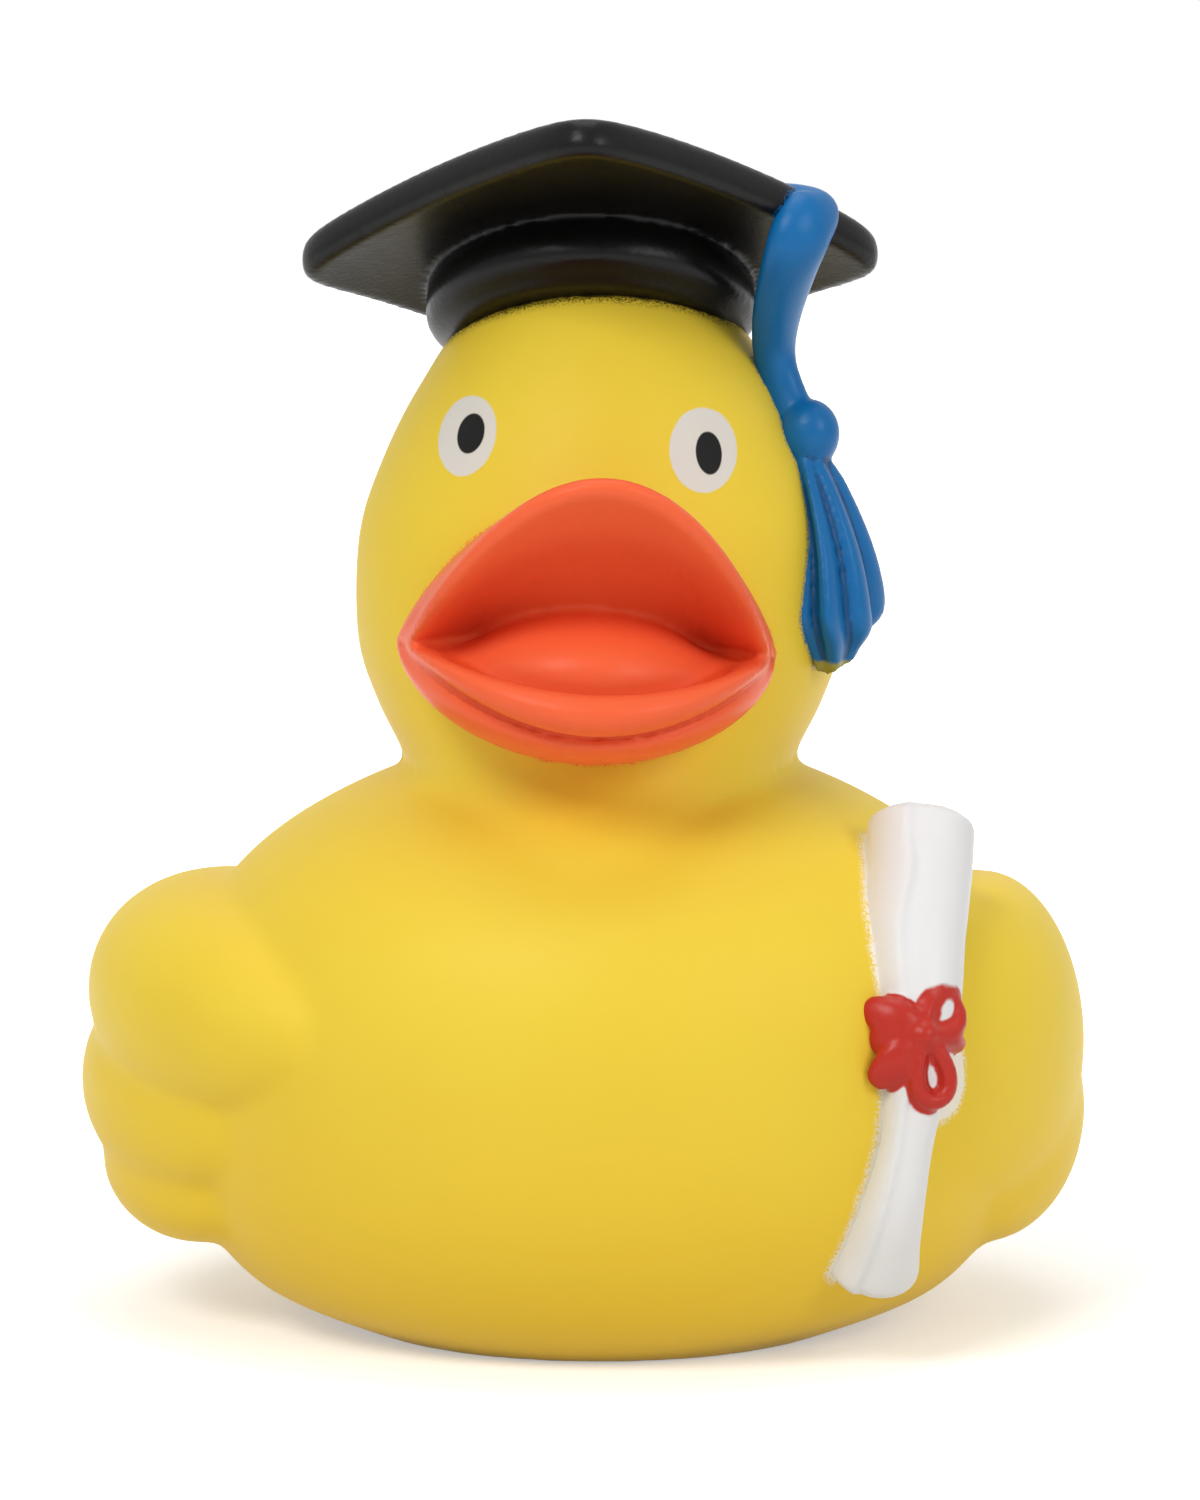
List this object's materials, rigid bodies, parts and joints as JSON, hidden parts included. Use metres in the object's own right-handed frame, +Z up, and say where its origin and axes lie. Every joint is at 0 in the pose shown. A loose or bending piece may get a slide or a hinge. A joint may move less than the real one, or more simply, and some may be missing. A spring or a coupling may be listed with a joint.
{
  "type": "rubber duck with graduation cap",
  "caption": "Hollow vinyl bath duck with an open bill, a mortarboard cap with tassel, and a tied diploma on its wing; a squeaker is pressed into its flat base.",
  "frame": {"origin": "middle of the duck's footprint box, on the surface it stands on", "axes": "+Z up through the head, -Y the way the duck looks, +X towards the duck's left wing, which carries the diploma"},
  "size_m": [0.0732, 0.0694, 0.0868],
  "materials": {
    "duck_vinyl": "satin moulded soft vinyl, sprayed and pad-printed",
    "squeaker_plastic": "natural moulded polyethylene",
    "reed_film": "thin clear-grey film"
  },
  "bodies": {
    "root": {"duck_shell": "duck_vinyl", "squeaker_housing": "squeaker_plastic", "squeaker_reed_seat": "squeaker_plastic", "squeaker_reed": "reed_film"}
  },
  "joints": []
}
